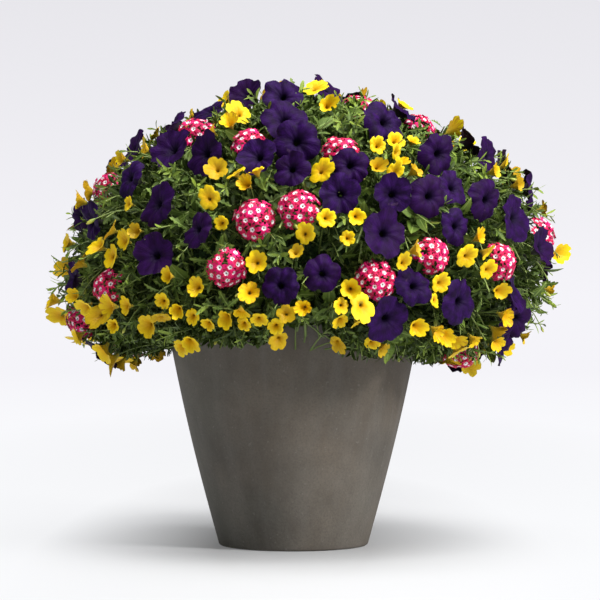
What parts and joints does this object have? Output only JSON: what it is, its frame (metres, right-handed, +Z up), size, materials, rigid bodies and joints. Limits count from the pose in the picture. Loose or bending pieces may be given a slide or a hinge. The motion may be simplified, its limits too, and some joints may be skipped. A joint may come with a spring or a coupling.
{
  "type": "planted patio flower pot",
  "caption": "Tapered round planter, filled with soil and a full mound of purple petunias, yellow calibrachoas and crimson verbenas.",
  "frame": {"origin": "middle of the pot's flat base, where it stands", "axes": "+Z up along the pot's axis, the side that the picture shows towards -Y, +X to the right of it"},
  "size_m": [0.6197, 0.5936, 0.5647],
  "materials": {
    "pot_clay": "matte",
    "soil": "matte",
    "leaf_green": "satin",
    "petunia_purple": "satin",
    "calibrachoa_yellow": "satin",
    "verbena_crimson": "satin"
  },
  "bodies": {
    "root": {"calibrachoa_01": "calibrachoa_yellow", "calibrachoa_02": "calibrachoa_yellow", "calibrachoa_03": "calibrachoa_yellow", "calibrachoa_04": "calibrachoa_yellow", "calibrachoa_05": "calibrachoa_yellow", "calibrachoa_06": "calibrachoa_yellow", "calibrachoa_07": "calibrachoa_yellow", "calibrachoa_08": "calibrachoa_yellow", "calibrachoa_09": "calibrachoa_yellow", "calibrachoa_10": "calibrachoa_yellow", "calibrachoa_11": "calibrachoa_yellow", "calibrachoa_12": "calibrachoa_yellow", "calibrachoa_13": "calibrachoa_yellow", "calibrachoa_14": "calibrachoa_yellow", "calibrachoa_15": "calibrachoa_yellow", "foliage_1": "leaf_green", "foliage_2": "leaf_green", "foliage_3": "leaf_green", "foliage_4": "leaf_green", "foliage_5": "leaf_green", "foliage_6": "leaf_green", "petunia_01": "petunia_purple", "petunia_02": "petunia_purple", "petunia_03": "petunia_purple", "petunia_04": "petunia_purple", "petunia_05": "petunia_purple", "petunia_06": "petunia_purple", "petunia_07": "petunia_purple", "petunia_08": "petunia_purple", "petunia_09": "petunia_purple", "petunia_10": "petunia_purple", "petunia_11": "petunia_purple", "petunia_12": "petunia_purple", "petunia_13": "petunia_purple", "planter_pot": "pot_clay", "potting_soil": "soil", "verbena_01": "verbena_crimson", "verbena_02": "verbena_crimson", "verbena_03": "verbena_crimson", "verbena_04": "verbena_crimson", "verbena_05": "verbena_crimson", "verbena_06": "verbena_crimson", "verbena_07": "verbena_crimson", "verbena_08": "verbena_crimson", "verbena_09": "verbena_crimson", "verbena_10": "verbena_crimson", "verbena_11": "verbena_crimson", "verbena_12": "verbena_crimson", "verbena_13": "verbena_crimson", "verbena_14": "verbena_crimson", "verbena_15": "verbena_crimson", "verbena_16": "verbena_crimson", "verbena_17": "verbena_crimson", "verbena_18": "verbena_crimson", "verbena_19": "verbena_crimson", "verbena_20": "verbena_crimson", "verbena_21": "verbena_crimson", "verbena_22": "verbena_crimson", "verbena_23": "verbena_crimson", "verbena_24": "verbena_crimson"}
  },
  "joints": []
}
